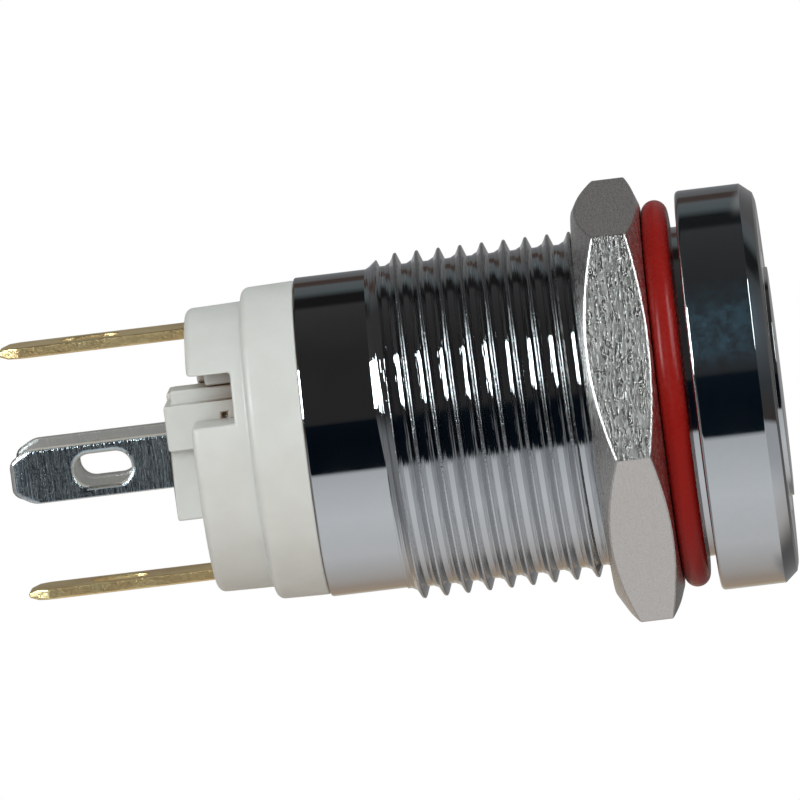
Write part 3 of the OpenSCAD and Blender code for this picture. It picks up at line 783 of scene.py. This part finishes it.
def make_camera():
    data = bpy.data.cameras.new("photo_camera")
    data.sensor_width = SENSOR
    data.lens = SENSOR * FOCAL_PX / IMAGE_PX
    data.clip_start = NEAREST * MM
    data.clip_end = FARTHEST * MM
    camera = bpy.data.objects.new("photo_camera", data)
    bpy.context.scene.collection.objects.link(camera)
    axes = camera_axes()
    origin = Vector([(p - IMAGE_PX / 2) / FOCAL_PX * DISTANCE for p in ORIGIN_PX] + [DISTANCE])
    turn = Matrix([(a.x, -a.y, -a.z) for a in axes]).to_4x4()
    spot = Matrix.Translation(Vector([-origin.dot(a) for a in axes]) * MM)
    camera.matrix_world = spot @ turn
    bpy.context.scene.camera = camera


# Light


class Studio(Nodes):
    """Nodes of the world, which is read by the direction of a ray."""

    def __init__(self, tree):
        super().__init__(tree)
        self.nodes.clear()
        self.way = self.new("ShaderNodeTexCoord").outputs["Generated"]

    def along(self, axis):
        """Component of the ray's direction along an axis."""
        node = self.new("ShaderNodeVectorMath", operation="DOT_PRODUCT")
        node.inputs[1].default_value = axis
        self.links.new(self.way, node.inputs[0])
        return node.outputs["Value"]

    def bands(self, place, stops):
        """Colour at a place between stops from 0 to 1."""
        node = self.new("ShaderNodeValToRGB")
        self.links.new(place, node.inputs["Fac"])
        elements = node.color_ramp.elements
        while len(elements) > 1:
            elements.remove(elements[-1])
        for k, (at, colour) in enumerate(stops):
            stop = elements.new(at) if k else elements[0]
            stop.position = at
            stop.color = (*colour, 1)
        return node.outputs["Color"]

    def glow(self, colour, strength=1.0):
        node = self.new("ShaderNodeBackground")
        self.fill(node, Color=colour, Strength=strength)
        return node.outputs["Background"]


def room(tree):
    """Bands of a studio room round the axis, its two ends and a backdrop, as metal sees them."""
    turn = tree.math("ARCTAN2", tree.along(UPWARD), tree.along(TOWARD))
    whole = tree.math("ADD", tree.math("DIVIDE", turn, 2 * math.pi), 0.5)
    seen = tree.bands(whole, [((degrees + 180) / 360, colour) for degrees, colour in ROOM])
    height = tree.math("ADD", tree.math("MULTIPLY", tree.along(UPWARD), 0.5), 0.5)
    axial = tree.along(AXIS)
    for stops, start, full in ((ROOM_REAR, REAR_FROM, REAR_FULL), (ROOM_FRONT, FRONT_FROM, FRONT_FULL)):
        end = tree.bands(height, [((up + 1) / 2, colour) for up, colour in stops])
        seen = tree.mix(tree.span(axial, start, full), seen, end)
    behind = tree.span(tree.along(TOWARD), BEHIND_FROM, BEHIND_FULL)
    share = tree.math("MULTIPLY", tree.span(axial, BACKDROP_FROM, BACKDROP_FULL), behind)
    backdrop = tree.span(axial, 0.0, BACKDROP_REACH, BACKDROP_NEAR, BACKDROP_FAR)
    return tree.mix(share, seen, backdrop)


def make_world():
    """White to the camera, dim to matt surfaces, and a studio room to metal."""
    world = bpy.data.worlds.new("studio")
    bpy.context.scene.world = world
    world.use_nodes = True
    tree = Studio(world.node_tree)
    above = tree.span(tree.along(UPWARD), FILL_FROM, FILL_FULL, smooth=False)
    ambient = tree.glow(tree.mix(above, FILL_BELOW, FILL_ABOVE), AMBIENT)
    path = tree.new("ShaderNodeLightPath").outputs
    lit = tree.blend(path["Is Glossy Ray"], ambient, tree.glow(room(tree)))
    direct = tree.math("MAXIMUM", path["Is Camera Ray"], path["Is Transmission Ray"])
    seen = tree.blend(direct, lit, tree.glow((1, 1, 1)))
    tree.links.new(seen, tree.new("ShaderNodeOutputWorld").inputs["Surface"])


def direction(toward, upward, axial):
    """Direction from its parts toward the camera, upward in the photograph and along the axis."""
    return (TOWARD * toward + UPWARD * upward + AXIS * axial).normalized()


def strip_lamp(name, first, last, distance, width, level, colour, in_metal):
    """Soft lamp that faces the object and reaches from one direction to another."""
    middle = (first + last).normalized()
    along = (last - first) - middle * (last - first).dot(middle)
    data = bpy.data.lights.new(name, "AREA")
    data.shape = "RECTANGLE"
    data.color = colour
    data.size = width * MM
    data.size_y = along.length * distance * MM
    data.energy = level * data.size * data.size_y * math.pi
    obj = bpy.data.objects.new(name, data)
    bpy.context.scene.collection.objects.link(obj)
    up = along.normalized()
    turn = Matrix((up.cross(middle), up, middle)).transposed().to_4x4()
    obj.matrix_world = Matrix.Translation((LAMP_AIM + middle * distance) * MM) @ turn
    obj.visible_camera = False
    obj.visible_glossy = in_metal
    obj.visible_diffuse = not in_metal


def make_lamps():
    """Two softboxes that only metal sees, and a front light for what is matt."""
    softbox = {"distance": 420, "level": SOFTBOX_LEVEL, "colour": SOFTBOX_COLOUR, "in_metal": True}
    strip_lamp("left_softbox", direction(0.57, 0.19, -0.80), direction(0.31, 0.61, -0.73),
               width=210, **softbox)
    strip_lamp("right_softbox", direction(0.50, 0.27, 0.82), direction(0.14, 0.68, 0.72),
               width=80, **softbox)
    strip_lamp("front_light", direction(0.97, -0.2, -0.3), direction(0.7, 0.7, -0.3),
               distance=600, width=500, level=FRONT_LEVEL, colour=FRONT_COLOUR, in_metal=False)


def pale_floor():
    """White to the camera but for a soft shade under the object."""
    tree = Finish("pale_floor")
    tree.set(base=(0.9, 0.9, 0.9), roughness=0.9, specular=0.0)
    matt = tree.shader.outputs[0]
    white = tree.new("ShaderNodeEmission").outputs["Emission"]
    fade = tree.span(tree.radius(), SHADE_FROM * MM, SHADE_TO * MM, SHADE_GLOW, 1.0)
    path = tree.new("ShaderNodeLightPath").outputs
    tree.join(tree.surface, tree.blend(path["Is Camera Ray"], matt, tree.blend(fade, matt, white)))
    return tree.material


def make_floor():
    """Pale disc below the tabs, which metal doesn't see."""
    bm = bmesh.new()
    bmesh.ops.create_circle(bm, cap_ends=True, segments=FLOOR_SIDES, radius=FLOOR_R * MM)
    mesh = bpy.data.meshes.new("floor")
    bm.to_mesh(mesh)
    bm.free()
    floor = bpy.data.objects.new("floor", mesh)
    floor.location.z = cad_box[0].z - FLOOR_GAP * MM
    bpy.context.scene.collection.objects.link(floor)
    floor.data.materials.append(pale_floor())
    floor.visible_glossy = False
    floor.visible_shadow = False


make_camera()
make_world()
make_lamps()
make_floor()
bpy.context.scene.view_settings.view_transform = "Standard"
